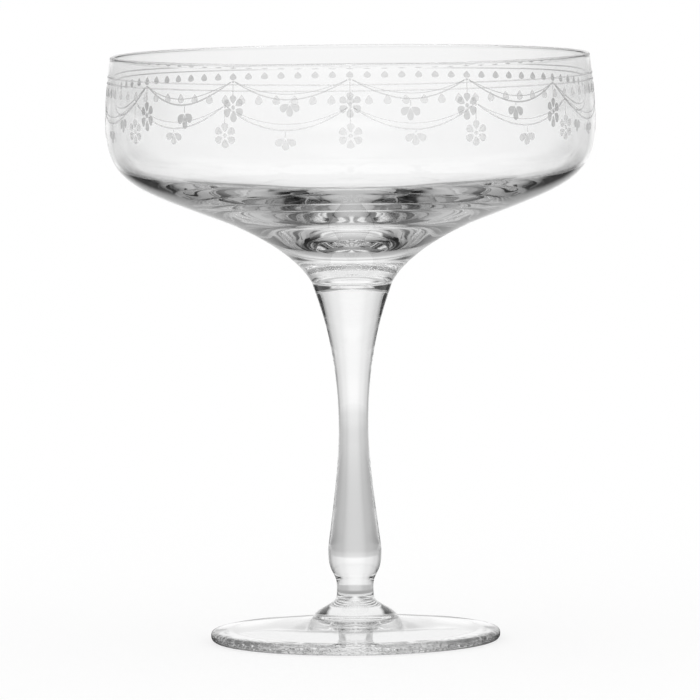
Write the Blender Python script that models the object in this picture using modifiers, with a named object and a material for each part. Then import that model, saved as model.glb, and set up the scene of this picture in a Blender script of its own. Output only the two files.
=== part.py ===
"""Champagne coupe in clear glass: a blown bowl, a solid baluster stem and a disc foot.

The three pieces are made one after another and fused while hot, so each ends in a seat that the next
piece beds on. Metres, +Z up; the origin is where the axis meets the surface that the glass stands on.
"""
import bpy
from math import cos, pi, radians, sin
from mathutils import Vector
from mathutils.geometry import interpolate_bezier

NAME = "champagne_coupe"

# Driving dimensions
HEIGHT = 0.1382
BELLY_RADIUS = 0.0575
FOOT_RADIUS = 0.0341
WAIST_RADIUS = 0.0035
LIP_THICKNESS = 0.0011
SEAM_GAP = 0.0003

# Bowl, outside: a short upright side, a round shoulder, a shallow underside and a funnel down to the stem
RIM_RADIUS = BELLY_RADIUS - 0.0012
RIM_HEIGHT = HEIGHT - LIP_THICKNESS / 2
BELLY_HEIGHT = 0.1225
UNDERSIDE_RADIUS = 0.0294
UNDERSIDE_HEIGHT = 0.0989
UNDERSIDE_SLOPE = 21

# Bowl, inside: a dished floor over the thick middle, a ledge where the wall starts to thin, and the shoulder
BELLY_WALL = 0.0014
FLOOR_HEIGHT = 0.0957
DISH_RADIUS = 0.0182
DISH_HEIGHT = 0.0999
DISH_SLOPE = 20
LEDGE_RADIUS = 0.0404
LEDGE_HEIGHT = 0.1055
LEDGE_SLOPE = 20
SHOULDER_RADIUS = 0.0528
SHOULDER_HEIGHT = 0.1114
SHOULDER_SLOPE = 44

# Stem: wide where it meets the bowl, thin at the waist, with a low bulb over a short neck
STEM_TOP_RADIUS = 0.0094
STEM_TOP_HEIGHT = 0.0843
STEM_TOP_DOME = 0.0008
WAIST_HEIGHT = 0.0504
BULB_RADIUS = 0.0063
BULB_HEIGHT = 0.0212
NECK_RADIUS = 0.0043
NECK_HEIGHT = 0.0126
STEM_FOOT_RADIUS = 0.0047
STEM_FOOT_HEIGHT = 0.0096
STEM_FOOT_DOME = 0.0006

# Foot: a round boss on a slightly conical disc, with a round edge, a flat rest ring and a hollow below
BOSS_RADIUS = 0.0073
BOSS_HEIGHT = 0.0078
DISC_RADIUS = 0.0104
DISC_HEIGHT = 0.0052
DISC_SLOPE = 7.4
FILLET = 0.0007
EDGE_THICKNESS = 0.0025
EDGE_ROUND = 0.0011
REST_RING_WIDTH = 0.0035
HOLLOW_DEPTH = 0.0024

# Facets around the axis
BOWL_STEPS = 48
STEM_STEPS = 28
FOOT_STEPS = 48

GLASS_COLOUR = (0.96, 0.98, 0.98, 1.0)
GLASS_ROUGHNESS = 0.02
GLASS_IOR = 1.52


def clear_scene():
    for item in list(bpy.data.objects):
        bpy.data.objects.remove(item, do_unlink=True)


def knot(radius, height, heading, reach_in=0.0, reach_out=0.0):
    """A point of an outline, with the handles that lead into and out of it along one heading.

    The heading is in degrees: 0 points outward, 90 up, -90 down and 180 towards the axis.
    """
    point = Vector((radius, 0.0, height))
    along = Vector((cos(radians(heading)), 0.0, sin(radians(heading))))
    return point - along * reach_in, point, point + along * reach_out


def curve(knots, counts):
    """The points of a smooth curve through the knots, with one count of spans for each stretch."""
    points = [knots[0][1]]
    for start, end, spans in zip(knots, knots[1:], counts):
        run = interpolate_bezier(start[1], start[2], end[0], end[1], spans + 1)
        points += run[1:]
    return points


def arc(centre_radius, centre_height, radius, start, end, spans):
    """The points of an arc between two angles in degrees, without its first and last points."""
    angles = [radians(start + (end - start) * index / spans) for index in range(1, spans)]
    return [Vector((centre_radius + radius * cos(angle), 0.0, centre_height + radius * sin(angle)))
            for angle in angles]


def dome(edge_radius, edge_height, rise, spans):
    """The points of a shallow dome from its edge to the axis, without the edge itself."""
    shares = [index / spans for index in range(1, spans + 1)]
    return [Vector((edge_radius * (1 - share), 0.0, edge_height + rise * (1 - (1 - share) ** 2)))
            for share in shares]


def glass(name):
    material = bpy.data.materials.new(name)
    material.use_nodes = True
    shader = material.node_tree.nodes["Principled BSDF"]
    shader.inputs["Base Color"].default_value = GLASS_COLOUR
    shader.inputs["Roughness"].default_value = GLASS_ROUGHNESS
    shader.inputs["Metallic"].default_value = 0.0
    shader.inputs["IOR"].default_value = GLASS_IOR
    shader.inputs["Transmission Weight"].default_value = 1.0
    return material


def turned(name, outline, steps, collection):
    """A solid of revolution from an outline that runs from the axis, down the outer side, to the axis."""
    mesh = bpy.data.meshes.new(name)
    edges = [(index, index + 1) for index in range(len(outline) - 1)]
    mesh.from_pydata(outline, edges, [])
    mesh.materials.append(glass(name + "_glass"))
    piece = bpy.data.objects.new(name, mesh)
    collection.objects.link(piece)
    screw = piece.modifiers.new("turning", "SCREW")
    screw.axis = "Z"
    screw.angle = 2 * pi
    screw.steps = steps
    screw.render_steps = steps
    screw.use_merge_vertices = True
    screw.merge_threshold = 0.00001
    screw.use_smooth_shade = True
    return piece


def bowl_outline():
    """From the middle of the floor up the inside, over the lip, down the outside and in along the seat."""
    inner_rim = RIM_RADIUS - LIP_THICKNESS
    inside = curve([
        knot(0.0, FLOOR_HEIGHT, 0, reach_out=0.0081),
        knot(DISH_RADIUS, DISH_HEIGHT, DISH_SLOPE, reach_in=0.0078, reach_out=0.0084),
        knot(LEDGE_RADIUS, LEDGE_HEIGHT, LEDGE_SLOPE, reach_in=0.0024, reach_out=0.0064),
        knot(SHOULDER_RADIUS, SHOULDER_HEIGHT, SHOULDER_SLOPE, reach_in=0.0031, reach_out=0.0029),
        knot(BELLY_RADIUS - BELLY_WALL, BELLY_HEIGHT, 90, reach_in=0.0062, reach_out=0.0050),
        knot(inner_rim, RIM_HEIGHT, 98, reach_in=0.0050),
    ], (6, 7, 5, 6, 4))
    lip = arc(inner_rim + LIP_THICKNESS / 2, RIM_HEIGHT, LIP_THICKNESS / 2, 180, 0, 4)
    outside = curve([
        knot(RIM_RADIUS, RIM_HEIGHT, -82, reach_out=0.0050),
        knot(BELLY_RADIUS, BELLY_HEIGHT, -90, reach_in=0.0050, reach_out=0.0141),
        knot(UNDERSIDE_RADIUS, UNDERSIDE_HEIGHT, UNDERSIDE_SLOPE - 180, reach_in=0.0226, reach_out=0.0024),
        knot(STEM_TOP_RADIUS, STEM_TOP_HEIGHT + SEAM_GAP / 2, -117, reach_in=0.0088),
    ], (4, 14, 8))
    seat = dome(STEM_TOP_RADIUS, STEM_TOP_HEIGHT + SEAM_GAP / 2, STEM_TOP_DOME, 3)
    return inside + lip + outside + seat


def stem_outline():
    """From the middle of the domed top, down the baluster, to the middle of the domed lower end."""
    top_height = STEM_TOP_HEIGHT - SEAM_GAP / 2
    foot_height = STEM_FOOT_HEIGHT + SEAM_GAP / 2
    top = dome(STEM_TOP_RADIUS, top_height, STEM_TOP_DOME, 3)[::-1]
    side = curve([
        knot(STEM_TOP_RADIUS, top_height, -107, reach_out=0.0040),
        knot(WAIST_RADIUS, WAIST_HEIGHT, -90, reach_in=0.0193, reach_out=0.0111),
        knot(BULB_RADIUS, BULB_HEIGHT, -90, reach_in=0.0020, reach_out=0.0057),
        knot(NECK_RADIUS, NECK_HEIGHT, -90, reach_in=0.0035, reach_out=0.0016),
        knot(STEM_FOOT_RADIUS, foot_height, -52, reach_in=0.0006),
    ], (10, 8, 6, 4))
    end = dome(STEM_FOOT_RADIUS, foot_height, -STEM_FOOT_DOME, 2)
    return top + side + end


def foot_outline():
    """From the middle of the dished seat, over the boss and disc, round the edge, to the hollow below."""
    seat_height = STEM_FOOT_HEIGHT - SEAM_GAP / 2
    ring_radius = FOOT_RADIUS - EDGE_ROUND
    hollow_radius = ring_radius - REST_RING_WIDTH
    edge_middle = EDGE_THICKNESS / 2
    seat = dome(STEM_FOOT_RADIUS, seat_height, -STEM_FOOT_DOME, 2)[::-1]
    top = curve([
        knot(STEM_FOOT_RADIUS, seat_height, -52, reach_out=0.0009),
        knot(BOSS_RADIUS, BOSS_HEIGHT, -29, reach_in=0.0011, reach_out=0.0013),
        knot(DISC_RADIUS - FILLET, DISC_HEIGHT + FILLET, -58, reach_in=0.0009, reach_out=0.0004),
        knot(DISC_RADIUS, DISC_HEIGHT, -DISC_SLOPE, reach_in=0.0004, reach_out=0.0080),
        knot(ring_radius, EDGE_THICKNESS, -DISC_SLOPE, reach_in=0.0080, reach_out=EDGE_ROUND * 0.8),
        knot(FOOT_RADIUS, edge_middle, -90, reach_in=edge_middle * 0.7, reach_out=edge_middle * 0.55),
        knot(ring_radius, 0.0, 180, reach_in=EDGE_ROUND * 0.6),
    ], (3, 4, 2, 4, 4, 3))
    hollow = curve([
        knot(hollow_radius, 0.0, 180 - DISC_SLOPE, reach_out=0.0090),
        knot(0.0, HOLLOW_DEPTH, 180, reach_in=0.0110),
    ], (4,))
    return seat + top + hollow


def build():
    clear_scene()
    collection = bpy.data.collections.new(NAME)
    bpy.context.scene.collection.children.link(collection)
    turned("bowl", bowl_outline(), BOWL_STEPS, collection)
    turned("stem", stem_outline(), STEM_STEPS, collection)
    turned("foot", foot_outline(), FOOT_STEPS, collection)


build()
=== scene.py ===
from functools import partial
from math import atan2, cos, pi, radians, sin

import bpy
from mathutils import Matrix, Vector
from mathutils.geometry import interpolate_bezier


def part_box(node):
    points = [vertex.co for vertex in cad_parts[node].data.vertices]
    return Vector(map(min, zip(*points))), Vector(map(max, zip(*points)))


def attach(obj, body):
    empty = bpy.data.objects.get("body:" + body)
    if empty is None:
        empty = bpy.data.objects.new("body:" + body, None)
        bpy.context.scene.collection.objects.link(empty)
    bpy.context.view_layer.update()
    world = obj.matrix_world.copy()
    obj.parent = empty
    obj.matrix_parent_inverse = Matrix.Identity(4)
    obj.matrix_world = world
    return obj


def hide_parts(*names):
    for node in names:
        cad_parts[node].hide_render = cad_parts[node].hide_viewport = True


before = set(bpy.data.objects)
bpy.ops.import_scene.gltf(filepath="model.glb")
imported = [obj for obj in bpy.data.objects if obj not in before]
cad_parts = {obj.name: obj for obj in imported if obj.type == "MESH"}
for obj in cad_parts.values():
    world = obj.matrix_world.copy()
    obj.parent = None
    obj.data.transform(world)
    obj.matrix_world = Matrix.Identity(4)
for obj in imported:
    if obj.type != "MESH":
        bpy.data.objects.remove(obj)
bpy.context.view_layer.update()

# A champagne coupe in clear glass with an engraved band, in a plain white studio. Metres, +Z up.

# Driving dimensions, from the frame
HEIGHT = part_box("bowl")[1][2]
BELLY_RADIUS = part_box("bowl")[1][0]
STEM_TOP_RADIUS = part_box("stem")[1][0]
FOOT_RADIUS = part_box("foot")[1][0]

# Bowl, outside, as in the solids: upright side, round shoulder, shallow underside and funnel
LIP_THICKNESS = 0.0011
RIM_RADIUS = BELLY_RADIUS - 0.0012
RIM_HEIGHT = HEIGHT - LIP_THICKNESS / 2
BELLY_HEIGHT = 0.1225
UNDERSIDE_RADIUS = 0.0294
UNDERSIDE_HEIGHT = 0.0989
UNDERSIDE_SLOPE = 21

# Bowl, inside: dished floor, ledge and shoulder
BELLY_WALL = 0.0014
FLOOR_HEIGHT = 0.0957
DISH_RADIUS = 0.0182
DISH_HEIGHT = 0.0999
DISH_SLOPE = 20
LEDGE_RADIUS = 0.0404
LEDGE_HEIGHT = 0.1055
LEDGE_SLOPE = 20
SHOULDER_RADIUS = 0.0528
SHOULDER_HEIGHT = 0.1114
SHOULDER_SLOPE = 44

# Stem: waist, low bulb and short neck
STEM_TOP_HEIGHT = 0.0843
WAIST_RADIUS = 0.0035
WAIST_HEIGHT = 0.0504
BULB_RADIUS = 0.0063
BULB_HEIGHT = 0.0212
NECK_RADIUS = 0.0043
NECK_HEIGHT = 0.0126
STEM_FOOT_RADIUS = 0.0047
STEM_FOOT_HEIGHT = 0.0096

# Foot: boss, disc, round edge, rest ring and hollow
BOSS_RADIUS = 0.0073
BOSS_HEIGHT = 0.0078
DISC_RADIUS = 0.0104
DISC_HEIGHT = 0.0052
DISC_SLOPE = 7.4
FILLET = 0.0007
EDGE_THICKNESS = 0.0025
EDGE_ROUND = 0.0011
EDGE_BAND = EDGE_ROUND * 1.1
REST_RING_WIDTH = 0.0035
HOLLOW_DEPTH = 0.0024

# Turned meshes: steps round the axis, what counts as on the axis or rim, and the order of the materials
BOWL_STEPS = 256
STEM_STEPS = 128
FOOT_STEPS = 192
AT_AXIS = 1e-9
AT_RIM = 1e-6
GLASS, SEAM, TRIM = range(3)

# Clear glass: tint in the hollows of its waves, size and depth of the waves, and how much of the lip is seen
GLASS_TINT = (0.994, 0.996, 0.996, 1.0)
GLASS_IOR = 1.52
WAVE_SIZE = 0.012
WAVE_DEPTH = 0.00002
EDGE_WAVE_SIZE = 0.0016
EDGE_WAVE_DEPTH = 0.0004
LIP_ALPHA = 0.35

# Engraved marks: how they are laid on the bowl, and how finely they are drawn
MARK_LIFT = 0.00003
MARK_DEPTH = 0.00004
LINE_WIDTH = 0.00034
FINE_LINE_WIDTH = LINE_WIDTH * 0.6
RING_STEPS = 240
SWAG_SPANS = 24
BEAD_CORNERS = 8
DROP_CORNERS = 14

# Engraved band: heights of its rows, how many marks go round, and the length and width of each mark
RING_HEIGHTS = (0.1335, 0.1321)
DROP_TOP = 0.1312
DROP_COUNT = 84
DROP_SIZE = (0.0022, 0.0019)
SWAG_TOP = 0.1284
SWAG_COUNT = 12
SWAG_GAP = 0.0012
SWAG_SAGS = ((0.0052, LINE_WIDTH), (0.0038, FINE_LINE_WIDTH))
BEAD_HEIGHT = SWAG_TOP + 0.0001
BEAD_RADIUS = 0.0004
FLOWER_HEIGHT = 0.1219
FLOWER_STRING = (SWAG_TOP - 0.0006, FLOWER_HEIGHT + 0.0027)
FLOWER_MIDDLE = 0.0005
PETAL_COUNT = 6
PETAL_SIZE = (0.0021, 0.0018)
PETAL_START = 0.0008
SPRIG_TOP = SWAG_TOP - 0.0055
SPRIG_HEIGHTS = (0.1223, 0.1214)
SPRIG_GAP = 0.0002
LEAF_SIZE = (0.0025, 0.0017)
LEAF_START = 0.0003
LEAF_TURNS = (-58, 0, 58)

# Engraved frost: greys of its grain, and its alpha from face on (0) to edge on (1)
FROST_GRAIN = 900.0
FROST_GREYS = ((0.3, 0.50), (0.7, 0.66))
FROST_ALPHAS = ((0.0, 0.15), (0.3, 0.32), (0.8, 0.42))
FROST_ROUGHNESS = 0.75
FROST_SPECULAR = 0.2

# Camera: distance and aim in metres, elevation and roll in degrees, lens and sensor in millimetres
CAMERA_DISTANCE = 1.916
CAMERA_ELEVATION = 4.47
CAMERA_AIM = (-0.00065, 0.0, 0.0685)
CAMERA_ROLL = 0.6
CAMERA_LENS = 418.7
SENSOR_WIDTH = 36.0

# Studio: a floor that is white where white light falls on it, and the bounces that glass needs
FLOOR_REACH = 12.0
FLOOR_DROP = 0.0001
FLOOR_COLOUR = (0.34, 0.34, 0.34, 1.0)
FLOOR_GLOW = (0.66, 0.66, 0.66, 1.0)
LIGHT_BOUNCES = 32

# Grey levels that are the same all round the set
WHITE = 1.0
BRIGHT = 1.04
OFF_WHITE = 0.95
PALE = 0.9
BLACK = 0.0

# Counts along a light path: above these lie one event or more, and the four sides of two walls or more
SOME = 0.5
TWO_WALLS = 3.5

# Painted reflections and shade in the glass: grey levels that only paths meeting the glass see, set apart for
# each kind of path, which the glass shows as its dark edges, panels and pale parts. (position, grey level)
# stops run round the set, from opposite the backdrop (0) to the backdrop (1). A row of stops takes over
# between the
# limits that end in FROM: distances from the axis on the floor, or sines of the elevation in the
# surroundings.
PAST_FOOT_FROM = (0.04, 0.055)

# Through the bowl's thin walls
WALLS_BRIGHT_FROM = (0.15, 0.6)

# Through solid glass: the floor from the axis outward, then the surroundings. The shares of SOLID_FAR run
# along the distance times a scale, because the positions of stops end at 1.
SOLID_UNDER = ((0.5, 0.85), (0.8, 0.35))
SOLID_NEAR = ((0.0, 0.9), (0.6, 0.85), (0.75, 0.5), (0.88, 0.45), (0.97, 0.5), (1.0, 0.65))
SOLID_NEAR_FROM = (0.075, 0.1)
SOLID_FAR = ((0.0, 0.97), (0.12, 0.85), (0.25, 0.7), (0.5, 0.95), (0.62, 0.85), (0.75, 0.45), (0.88, 0.7),
             (0.97, 0.86), (1.0, 0.99))
SOLID_FAR_SHARES = ((0.04, 0.0), (0.14, 0.32), (0.32, 0.58), (0.6, 0.86), (0.8, 1.0))
SOLID_FAR_SCALE = 0.4
SOLID_WORLD = ((0.0, 0.97), (0.12, 0.7), (0.25, 0.4), (0.5, 0.95), (0.75, 0.4), (0.88, 0.7), (0.97, 0.86),
               (1.0, 0.97))
SOLID_WORLD_FROM = (0.0, 0.12)

# Painted reflection on the floor, seen through solid glass: the floor has no gloss, but its glow goes by
# slant, from straight above (0) to level (1); between these slants its painted white gives way to the greys
# of the set
LOW_UNDER = (0.76, 0.84)
LOW_NEAR = (0.62, 0.72)
LOW_FAR = (0.72, 0.79)
LOW_FAR_FROM = (0.2, 0.28)

# After a reflection inside the glass: the floor, then the surroundings
INNER_UNDER = ((0.0, 0.42), (0.25, 0.3), (0.5, 0.25), (0.65, 0.4), (0.75, 0.95), (0.95, 0.95), (0.98, 0.3),
               (0.9985, 0.25), (0.9996, 0.95))
INNER_NEAR = ((0.0, 0.34), (0.25, 0.25), (0.36, 0.02), (0.86, 0.05), (0.93, 0.35), (1.0, 0.52))
INNER_FAR = ((0.0, 0.13), (0.25, 0.1), (0.36, 0.0), (0.8, 0.0), (0.86, 0.36), (0.95, 0.5), (0.99, 0.88))
INNER_FAR_FROM = (0.12, 0.5)
INNER_LOW = ((0.0, 0.15), (0.1, 0.0), (0.64, 0.0), (0.71, 0.34), (0.88, 0.5), (0.94, 0.52), (0.98, 0.52),
             (1.0, 0.62))
BACKDROP_EDGE = ((0.71, 0.3), (0.8, 0.3), (0.85, 0.0), (0.92, 0.02), (0.955, 0.92))
INNER_SLANT = ((0.0, 0.6), (0.015, 0.5), (0.05, 0.05), (0.6, 0.05)) + BACKDROP_EDGE
INNER_SLANT_FROM = (0.14, 0.22)
INNER_MIDDLE = ((0.0, 0.2), (0.1, 0.0), (0.64, 0.05)) + BACKDROP_EDGE
INNER_MIDDLE_FROM = (0.32, 0.4)
INNER_HIGH = ((0.0, 0.5), (0.12, 0.15), (0.55, 0.15), (0.66, 0.55), (0.88, 0.75), (0.94, 1.03), (1.0, 1.0))
INNER_HIGH_FROM = (0.5, 0.8)

# After a reflection off the outer side of the glass: the floor, then the surroundings
OUTER_RIM = ((0.4, 1.0), (0.75, 1.0), (0.93, 0.1), (0.965, 0.05), (0.982, 0.9))
OUTER_NEAR = ((0.4, 1.0), (0.75, 1.0), (1.0, 0.0))
OUTER_NEAR_FROM = (0.075, 0.095)
OUTER_MIDDLE = ((0.4, 0.9), (0.78, 0.85), (0.84, 0.15), (0.93, 0.15), (0.98, 0.78))
OUTER_MIDDLE_FROM = (0.06, 0.16)
OUTER_FAR = ((0.75, 0.8), (1.0, 1.03))
OUTER_FAR_FROM = (0.3, 0.7)
OUTER_WORLD = ((0.0, 1.0), (0.25, 1.0), (0.41, 0.7), (0.59, 0.3), (0.75, 0.12), (0.88, 0.7), (1.0, 1.03))


def knot(radius, height, heading, reach_in=0.0, reach_out=0.0):
    """A point of an outline with its handles: heading 0 points outward, 90 up, 180 towards the axis."""
    point = Vector((radius, 0.0, height))
    along = Vector((cos(radians(heading)), 0.0, sin(radians(heading))))
    return point - along * reach_in, point, point + along * reach_out


def curve(knots, counts):
    """The points of a smooth curve through the knots, with one count of spans for each stretch."""
    points = [knots[0][1]]
    for start, end, spans in zip(knots, knots[1:], counts):
        points += interpolate_bezier(start[1], start[2], end[0], end[1], spans + 1)[1:]
    return points


def arc(centre_radius, centre_height, radius, start, end, spans):
    """The points of an arc between two angles in degrees, without its first and last points."""
    angles = [radians(start + (end - start) * index / spans) for index in range(1, spans)]
    return [Vector((centre_radius + radius * cos(angle), 0.0, centre_height + radius * sin(angle)))
            for angle in angles]


def inside_of_bowl():
    return curve([
        knot(0.0, FLOOR_HEIGHT, 0, reach_out=0.0081),
        knot(DISH_RADIUS, DISH_HEIGHT, DISH_SLOPE, reach_in=0.0078, reach_out=0.0084),
        knot(LEDGE_RADIUS, LEDGE_HEIGHT, LEDGE_SLOPE, reach_in=0.0024, reach_out=0.0064),
        knot(SHOULDER_RADIUS, SHOULDER_HEIGHT, SHOULDER_SLOPE, reach_in=0.0031, reach_out=0.0029),
        knot(BELLY_RADIUS - BELLY_WALL, BELLY_HEIGHT, 90, reach_in=0.0062, reach_out=0.0050),
        knot(RIM_RADIUS - LIP_THICKNESS, RIM_HEIGHT, 98, reach_in=0.0050),
    ], (32, 32, 28, 24, 20))


def outside_of_bowl():
    return curve([
        knot(RIM_RADIUS, RIM_HEIGHT, -82, reach_out=0.0050),
        knot(BELLY_RADIUS, BELLY_HEIGHT, -90, reach_in=0.0050, reach_out=0.0141),
        knot(UNDERSIDE_RADIUS, UNDERSIDE_HEIGHT, UNDERSIDE_SLOPE - 180, reach_in=0.0226, reach_out=0.0024),
        knot(STEM_TOP_RADIUS, STEM_TOP_HEIGHT, -117, reach_in=0.0088),
    ], (20, 48, 32))


def bowl_outline():
    """From the middle of the floor up the inside, over the lip and down the outside to the seam."""
    lip = arc(RIM_RADIUS - LIP_THICKNESS / 2, RIM_HEIGHT, LIP_THICKNESS / 2, 180, 0, 12)
    return inside_of_bowl() + lip + outside_of_bowl()


def stem_outline():
    """From the seam with the bowl down the baluster to the seam with the foot."""
    return curve([
        knot(STEM_TOP_RADIUS, STEM_TOP_HEIGHT, -107, reach_out=0.0040),
        knot(WAIST_RADIUS, WAIST_HEIGHT, -90, reach_in=0.0193, reach_out=0.0111),
        knot(BULB_RADIUS, BULB_HEIGHT, -90, reach_in=0.0020, reach_out=0.0057),
        knot(NECK_RADIUS, NECK_HEIGHT, -90, reach_in=0.0035, reach_out=0.0016),
        knot(STEM_FOOT_RADIUS, STEM_FOOT_HEIGHT, -52, reach_in=0.0006),
    ], (60, 48, 32, 20))


def foot_outline():
    """From the seam with the stem over the boss and disc, round the edge, to the middle of the hollow."""
    ring_radius = FOOT_RADIUS - EDGE_ROUND
    edge_middle = EDGE_THICKNESS / 2
    top = curve([
        knot(STEM_FOOT_RADIUS, STEM_FOOT_HEIGHT, -52, reach_out=0.0009),
        knot(BOSS_RADIUS, BOSS_HEIGHT, -29, reach_in=0.0011, reach_out=0.0013),
        knot(DISC_RADIUS - FILLET, DISC_HEIGHT + FILLET, -58, reach_in=0.0009, reach_out=0.0004),
        knot(DISC_RADIUS, DISC_HEIGHT, -DISC_SLOPE, reach_in=0.0004, reach_out=0.0080),
        knot(ring_radius, EDGE_THICKNESS, -DISC_SLOPE, reach_in=0.0080, reach_out=EDGE_ROUND * 0.8),
        knot(FOOT_RADIUS, edge_middle, -90, reach_in=edge_middle * 0.7, reach_out=edge_middle * 0.55),
        knot(ring_radius, 0.0, 180, reach_in=EDGE_ROUND * 0.6),
    ], (12, 12, 6, 24, 12, 10))
    hollow = curve([
        knot(ring_radius - REST_RING_WIDTH, 0.0, 180 - DISC_SLOPE, reach_out=0.0090),
        knot(0.0, HOLLOW_DEPTH, 180, reach_in=0.0110),
    ], (24,))
    return top + hollow


def on_lip(point):
    return point.z > RIM_HEIGHT - AT_RIM


def on_foot_edge(point):
    return point.z <= EDGE_THICKNESS and point.x > FOOT_RADIUS - EDGE_BAND


def new_object(name, vertices, faces, materials):
    """A new mesh object in the scene."""
    mesh = bpy.data.meshes.new(name)
    mesh.from_pydata(vertices, [], faces)
    for material in materials:
        mesh.materials.append(material)
    mesh.update()
    made = bpy.data.objects.new(name, mesh)
    bpy.context.scene.collection.objects.link(made)
    return made


def swept(points, steps):
    """The corners of a turned surface, and the numbers of the corners in each of its rings."""
    vertices = []
    rings = []
    for point in points:
        if point.x < AT_AXIS:
            rings.append([len(vertices)] * steps)
            vertices.append((0.0, 0.0, point.z))
            continue
        rings.append(list(range(len(vertices), len(vertices) + steps)))
        for step in range(steps):
            angle = 2 * pi * step / steps
            vertices.append((point.x * cos(angle), point.x * sin(angle), point.z))
    return vertices, rings


def turned(name, outline, steps, materials, on_trim=None):
    """A solid of revolution. Where an end of the outline is off the axis, a seam cap closes it.

    The materials are for the glass, the seam caps and the trim, which is the lip or the foot's edge.
    """
    points = list(outline)
    seams = []
    if outline[0].x > AT_AXIS:
        points.insert(0, Vector((0.0, 0.0, outline[0].z)))
        seams.append(0)
    if outline[-1].x > AT_AXIS:
        points.append(Vector((0.0, 0.0, outline[-1].z)))
        seams.append(len(points) - 2)
    vertices, rings = swept(points, steps)
    faces = []
    choices = []
    for index, (upper, lower) in enumerate(zip(rings, rings[1:])):
        choice = GLASS
        if index in seams:
            choice = SEAM
        elif on_trim and on_trim(points[index]) and on_trim(points[index + 1]):
            choice = TRIM
        for step in range(steps):
            after = (step + 1) % steps
            corners = [upper[step], lower[step], lower[after], upper[after]]
            # Corners that meet on the axis count once, so a face there has three
            faces.append(list(dict.fromkeys(corners)))
            choices.append(choice)
    piece = new_object(name, vertices, faces, materials)
    piece.data.polygons.foreach_set("material_index", choices)
    piece.data.shade_smooth()
    piece.data.update()
    return piece


def node(tree, kind, inputs=None, **settings):
    """Adds a node with settings; an input takes a number, a vector or another node's output."""
    made = tree.nodes.new("ShaderNode" + kind)
    for name, value in settings.items():
        setattr(made, name, value)
    for key, value in (inputs or {}).items():
        if isinstance(value, bpy.types.NodeSocket):
            tree.links.new(value, made.inputs[key])
        else:
            made.inputs[key].default_value = value
    return made


def ramp(tree, value, stops):
    """Grey levels along a value, as (position, level) stops with soft steps between them."""
    made = node(tree, "ValToRGB", {"Fac": value})
    shades = made.color_ramp
    shades.interpolation = "EASE"
    while len(shades.elements) < len(stops):
        shades.elements.new(0.5)
    for element, (position, level) in zip(shades.elements, stops):
        element.position = position
        element.color = (level, level, level, 1.0)
    return made.outputs["Color"]


def rise(tree, value, limits):
    """Goes softly from 0 to 1 between two limits of a value."""
    start, end = limits
    return ramp(tree, value, ((start, 0.0), (end, 1.0)))


def blended(tree, share, first, second):
    """A mix of two grey levels, through the colour sockets of a Mix node: inputs 6 and 7, output 2."""
    made = node(tree, "Mix", {"Factor": share}, data_type="RGBA")
    for socket, value in zip((made.inputs[6], made.inputs[7]), (first, second)):
        if isinstance(value, bpy.types.NodeSocket):
            tree.links.new(value, socket)
        else:
            socket.default_value = (value, value, value, 1.0)
    return made.outputs[2]


def tiers(tree, value, first, *others):
    """Grey levels that take over one from another along a value, each of the others between its limits."""
    shown = first
    for limits, level in others:
        shown = blended(tree, rise(tree, value, limits), shown, level)
    return shown


def above(tree, value, limit):
    return node(tree, "Math", {0: value, 1: limit}, operation="GREATER_THAN").outputs[0]


def new_material(name):
    """A new material and its node tree."""
    material = bpy.data.materials.new(name)
    material.use_nodes = True
    return material, material.node_tree


def glass(name, wave_size, wave_depth, alpha=1.0):
    """Clear glass with the faint waves that hot working leaves; a lower alpha hides it more."""
    material, tree = new_material(name)
    place = node(tree, "TexCoord").outputs["Object"]
    waves = node(tree, "TexNoise", {"Vector": place, "Scale": 1 / wave_size, "Detail": 1.0}).outputs["Fac"]
    tint = node(tree, "ValToRGB", {"Fac": waves})
    tint.color_ramp.elements[0].color = GLASS_TINT
    shader = tree.nodes["Principled BSDF"]
    tree.links.new(tint.outputs["Color"], shader.inputs["Base Color"])
    bump = node(tree, "Bump", {"Height": waves, "Distance": wave_depth})
    tree.links.new(bump.outputs["Normal"], shader.inputs["Normal"])
    shader.inputs["Roughness"].default_value = 0.0
    shader.inputs["IOR"].default_value = GLASS_IOR
    shader.inputs["Transmission Weight"].default_value = 1.0
    shader.inputs["Alpha"].default_value = alpha
    return material


def fused_seam():
    """The face where two pieces of glass are fused: nothing of it is seen."""
    material, tree = new_material("fused_seam")
    tree.nodes["Principled BSDF"].inputs["Alpha"].default_value = 0.0
    return material


def make_glass():
    plain = [glass("clear_glass", WAVE_SIZE, WAVE_DEPTH), fused_seam()]
    lip = glass("lip_glass", WAVE_SIZE, WAVE_DEPTH, LIP_ALPHA)
    edge = glass("edge_glass", EDGE_WAVE_SIZE, EDGE_WAVE_DEPTH)
    for name, outline, steps, materials, on_trim in (
            ("bowl", bowl_outline(), BOWL_STEPS, plain + [lip], on_lip),
            ("stem", stem_outline(), STEM_STEPS, plain, None),
            ("foot", foot_outline(), FOOT_STEPS, plain + [edge], on_foot_edge)):
        piece = turned(name + "_glass", outline, steps, materials, on_trim)
        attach(piece, "root")
        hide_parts(name)


# The bowl's outer side, which carries the engraving, and its length round the belly
BOWL_SIDE = outside_of_bowl()
GIRTH = 2 * pi * BELLY_RADIUS


def outer_radius(height):
    """Radius of the bowl's outer side at a height in the engraved band."""
    for upper, lower in zip(BOWL_SIDE, BOWL_SIDE[1:]):
        if lower.z <= height:
            return upper.x + (lower.x - upper.x) * (upper.z - height) / (upper.z - lower.z)


def on_bowl(around, height, lift):
    """A point over the bowl's outer side: its arc length round the belly from the front, height and lift."""
    radius = outer_radius(height) + lift
    angle = around / BELLY_RADIUS
    return radius * sin(angle), -radius * cos(angle), height


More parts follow.
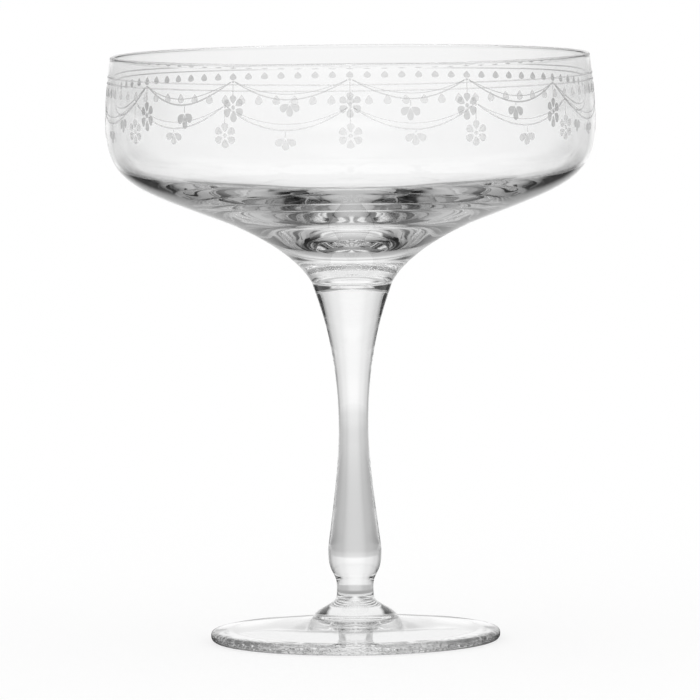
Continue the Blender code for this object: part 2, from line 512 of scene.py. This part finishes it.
def plate(marks, outline):
    """Adds a thin closed plate, from the (around, height) points of its outline, anticlockwise."""
    vertices, faces = marks
    count = len(outline)
    outer = [len(vertices) + index for index in range(count)]
    inner = [index + count for index in outer]
    for lift in (MARK_LIFT + MARK_DEPTH, MARK_LIFT):
        vertices.extend(on_bowl(around, height, lift) for around, height in outline)
    faces.append(outer)
    faces.append(inner[::-1])
    for index in range(count):
        faces.append([outer[index - 1], inner[index - 1], inner[index], outer[index]])


def ribbon(marks, line, width, closed=False):
    """Adds a thin closed strip along the (around, height) points of a line."""
    vertices, faces = marks
    rows = []
    for index, (around, height) in enumerate(line):
        before = line[max(index - 1, 0)]
        after = line[min(index + 1, len(line) - 1)]
        slope = atan2(after[1] - before[1], after[0] - before[0])
        across = (-sin(slope) * width / 2, cos(slope) * width / 2)
        rows.append(len(vertices))
        for lift in (MARK_LIFT + MARK_DEPTH, MARK_LIFT):
            vertices.append(on_bowl(around + across[0], height + across[1], lift))
            vertices.append(on_bowl(around - across[0], height - across[1], lift))
    sides = ((0, 1), (1, 3), (3, 2), (2, 0))
    pairs = list(zip(rows, rows[1:]))
    if closed:
        pairs.append((rows[-1], rows[0]))
    else:
        faces.append([rows[0] + corner for corner in (0, 2, 3, 1)])
        faces.append([rows[-1] + corner for corner in (0, 1, 3, 2)])
    for here, there in pairs:
        for start, end in sides:
            faces.append([here + start, here + end, there + end, there + start])


def bead(marks, around, height, radius):
    angles = [2 * pi * index / BEAD_CORNERS for index in range(BEAD_CORNERS)]
    plate(marks, [(around + radius * cos(angle), height + radius * sin(angle)) for angle in angles])


def drop(marks, around, height, size, turn=0.0, start=0.0):
    """Adds a drop that hangs from its point, turned about it by an angle in degrees and set out from it."""
    length, width = size
    along = (sin(radians(turn)), -cos(radians(turn)))
    widest = 0.77  # about the highest value of sin(angle) * sin(angle / 2)
    outline = []
    for index in range(DROP_CORNERS):
        angle = 2 * pi * index / DROP_CORNERS
        reach = start + length * (1 - cos(angle)) / 2
        spread = width / 2 * sin(angle) * sin(angle / 2) / widest
        outline.append((around + along[0] * reach + along[1] * spread,
                        height + along[1] * reach - along[0] * spread))
    plate(marks, outline)


def rings_round(marks):
    for height in RING_HEIGHTS:
        line = [(GIRTH * index / RING_STEPS, height) for index in range(RING_STEPS)]
        ribbon(marks, line, LINE_WIDTH, closed=True)


def drop_row(marks):
    for index in range(DROP_COUNT):
        drop(marks, GIRTH * index / DROP_COUNT, DROP_TOP, DROP_SIZE)


def swag(marks, middle, sag, width):
    """Adds a hanging curve between two neighbouring flower strings."""
    span = GIRTH / SWAG_COUNT - SWAG_GAP
    shares = [index / SWAG_SPANS for index in range(SWAG_SPANS + 1)]
    line = [(middle + span * (share - 0.5), SWAG_TOP - sag * 4 * share * (1 - share)) for share in shares]
    ribbon(marks, line, width)


def flower(marks, around):
    """Adds a string with a six-petalled flower at its end."""
    bead(marks, around, BEAD_HEIGHT, BEAD_RADIUS)
    ribbon(marks, [(around, height) for height in FLOWER_STRING], FINE_LINE_WIDTH)
    bead(marks, around, FLOWER_HEIGHT, FLOWER_MIDDLE)
    for index in range(PETAL_COUNT):
        drop(marks, around, FLOWER_HEIGHT, PETAL_SIZE, turn=360 / PETAL_COUNT * index, start=PETAL_START)


def sprig(marks, around, height):
    """Adds a short string with three leaves at its end."""
    ribbon(marks, [(around, SPRIG_TOP), (around, height + SPRIG_GAP)], FINE_LINE_WIDTH)
    for turn in LEAF_TURNS:
        drop(marks, around, height, LEAF_SIZE, turn=turn, start=LEAF_START)


def engraved_frost():
    """Matt ground marks with a fine cloudy grain: faint face on and denser where they are seen aslant."""
    material, tree = new_material("engraved_frost")
    place = node(tree, "TexCoord").outputs["Object"]
    grain = node(tree, "TexNoise", {"Vector": place, "Scale": FROST_GRAIN, "Detail": 3.0}).outputs["Fac"]
    aslant = node(tree, "LayerWeight", {"Blend": 0.5}).outputs["Facing"]
    shader = tree.nodes["Principled BSDF"]
    tree.links.new(ramp(tree, grain, FROST_GREYS), shader.inputs["Base Color"])
    tree.links.new(ramp(tree, aslant, FROST_ALPHAS), shader.inputs["Alpha"])
    shader.inputs["Roughness"].default_value = FROST_ROUGHNESS
    shader.inputs["Specular IOR Level"].default_value = FROST_SPECULAR
    return material


def make_engraving():
    """A traditional kind of band, of regular swags, flowers and sprigs under two rings."""
    marks = ([], [])
    rings_round(marks)
    drop_row(marks)
    for index in range(SWAG_COUNT):
        around = GIRTH * index / SWAG_COUNT
        middle = around + GIRTH / SWAG_COUNT / 2
        flower(marks, around)
        for sag, width in SWAG_SAGS:
            swag(marks, middle, sag, width)
        sprig(marks, middle, SPRIG_HEIGHTS[index % 2])
    vertices, faces = marks
    piece = new_object("engraved_band", vertices, faces, [engraved_frost()])
    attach(piece, "root")


def make_camera():
    data = bpy.data.cameras.new("camera")
    data.lens = CAMERA_LENS
    data.sensor_width = SENSOR_WIDTH
    camera = bpy.data.objects.new("camera", data)
    bpy.context.scene.collection.objects.link(camera)
    elevation = radians(CAMERA_ELEVATION)
    back = Vector((0.0, -cos(elevation), sin(elevation)))
    camera.location = Vector(CAMERA_AIM) + back * CAMERA_DISTANCE
    turn = (-back).to_track_quat("-Z", "Y").to_matrix()
    roll = Matrix.Rotation(radians(-CAMERA_ROLL), 3, "Z")
    camera.rotation_euler = (turn @ roll).to_euler()
    bpy.context.scene.camera = camera


def round_the_set(tree, direction):
    """How far round from the backdrop a direction points: 1 at the backdrop, 0.5 at the sides, 0 opposite."""
    level = node(tree, "VectorMath", {0: direction, 1: (1.0, 1.0, 0.0)}, operation="MULTIPLY").outputs[0]
    unit = node(tree, "VectorMath", {0: level}, operation="NORMALIZE").outputs[0]
    facing = node(tree, "SeparateXYZ", {0: unit}).outputs["Y"]
    return node(tree, "Math", {0: facing, 1: 0.5, 2: 0.5}, operation="MULTIPLY_ADD").outputs[0]


def seen_in_glass(tree, walls, solid, inner, outer):
    """Picks the painted level that a path meeting the glass shows, for reflections and shade in the glass:
    through the bowl's walls, through solid glass, after a reflection inside the glass, or after one off its
    outer side."""
    path = node(tree, "LightPath").outputs
    through = blended(tree, above(tree, path["Transmission Depth"], TWO_WALLS), solid, walls)
    reflected = blended(tree, above(tree, path["Transmission Depth"], SOME), outer, inner)
    shown = blended(tree, above(tree, path["Glossy Depth"], SOME), through, reflected)
    kinds = {0: path["Is Glossy Ray"], 1: path["Is Transmission Ray"]}
    meets = node(tree, "Math", kinds, operation="MAXIMUM").outputs[0]
    return meets, shown


def make_world():
    """White surroundings; to paths that meet the glass they show grey levels set for each kind of path,
    painted reflections and shade in the glass.
    """
    world = bpy.data.worlds.new("studio")
    bpy.context.scene.world = world
    world.use_nodes = True
    tree = world.node_tree
    direction = node(tree, "TexCoord").outputs["Generated"]
    height = node(tree, "SeparateXYZ", {0: direction}).outputs["Z"]
    around = partial(ramp, tree, round_the_set(tree, direction))
    solid = tiers(tree, height, around(SOLID_FAR), (SOLID_WORLD_FROM, around(SOLID_WORLD)))
    inner = tiers(tree, height, around(INNER_LOW), (INNER_SLANT_FROM, around(INNER_SLANT)),
                  (INNER_MIDDLE_FROM, around(INNER_MIDDLE)), (INNER_HIGH_FROM, around(INNER_HIGH)))
    meets, shown = seen_in_glass(tree, BRIGHT, solid, inner, around(OUTER_WORLD))
    background = tree.nodes["Background"]
    tree.links.new(blended(tree, meets, WHITE, shown), background.inputs["Color"])
    background.inputs["Strength"].default_value = 1.0


def floor_in_glass(tree):
    """Whether a path meets the glass before the floor, and the painted level, for reflections and shade in
    the glass, that the floor then shows.

    The levels go by place. Through solid glass they also go by slant, as a painted reflection in place of
    gloss:
    the floor shows a painted white from above and the greys of the set at a low slant.
    """
    place = node(tree, "NewGeometry").outputs["Position"]
    reach = node(tree, "VectorMath", {0: place}, operation="LENGTH").outputs["Value"]
    scaled = node(tree, "Math", {0: reach, 1: SOLID_FAR_SCALE}, operation="MULTIPLY").outputs[0]
    slant = node(tree, "LayerWeight", {"Blend": 0.5}).outputs["Facing"]
    around = partial(ramp, tree, round_the_set(tree, place))
    walls = tiers(tree, reach, PALE, (WALLS_BRIGHT_FROM, BRIGHT))
    open_solid = blended(tree, ramp(tree, scaled, SOLID_FAR_SHARES), around(SOLID_NEAR), around(SOLID_FAR))
    greys = tiers(tree, reach, around(SOLID_UNDER), (SOLID_NEAR_FROM, open_solid))
    # Painted reflection: through solid glass the floor's glow goes from OFF_WHITE above to the greys at a low
    # slant
    low = tiers(tree, reach, rise(tree, slant, LOW_UNDER), (PAST_FOOT_FROM, rise(tree, slant, LOW_NEAR)),
                (LOW_FAR_FROM, rise(tree, slant, LOW_FAR)))
    solid = blended(tree, low, OFF_WHITE, greys)
    inner = tiers(tree, reach, around(INNER_UNDER), (PAST_FOOT_FROM, around(INNER_NEAR)),
                  (INNER_FAR_FROM, around(INNER_FAR)))
    open_outer = tiers(tree, reach, around(OUTER_NEAR), (OUTER_MIDDLE_FROM, around(OUTER_MIDDLE)),
                       (OUTER_FAR_FROM, around(OUTER_FAR)))
    outer = tiers(tree, reach, BLACK, (PAST_FOOT_FROM, around(OUTER_RIM)), (OUTER_NEAR_FROM, open_outer))
    return seen_in_glass(tree, walls, solid, inner, outer)


def pale_floor():
    """A matt floor that keeps the object's shadow, with its own painted glow for paths that meet the glass,
    for reflections and shade in them.
    """
    material, tree = new_material("pale_floor")
    tree.nodes.remove(tree.nodes["Principled BSDF"])
    meets, shown = floor_in_glass(tree)
    lit = node(tree, "BsdfDiffuse", {"Color": FLOOR_COLOUR}).outputs[0]
    glow = node(tree, "Emission", {"Color": FLOOR_GLOW}).outputs[0]
    open_floor = node(tree, "AddShader", {0: lit, 1: glow}).outputs[0]
    in_glass = node(tree, "Emission", {"Color": shown}).outputs[0]
    mixed = node(tree, "MixShader", {0: meets, 1: open_floor, 2: in_glass}).outputs[0]
    tree.links.new(mixed, tree.nodes["Material Output"].inputs["Surface"])
    return material


def make_floor():
    corners = [(x * FLOOR_REACH, y * FLOOR_REACH, 0) for x, y in ((-1, -1), (1, -1), (1, 1), (-1, 1))]
    floor = new_object("floor", corners, [(0, 1, 2, 3)], [pale_floor()])
    floor.location.z = -FLOOR_DROP


def let_light_through():
    """Enough bounces for light that runs many times to and fro inside the glass."""
    cycles = bpy.context.scene.cycles
    cycles.max_bounces = LIGHT_BOUNCES
    cycles.glossy_bounces = LIGHT_BOUNCES
    cycles.transmission_bounces = LIGHT_BOUNCES
    cycles.transparent_max_bounces = LIGHT_BOUNCES


bpy.context.scene.view_settings.view_transform = "Standard"
make_glass()
make_engraving()
make_camera()
make_world()
make_floor()
let_light_through()
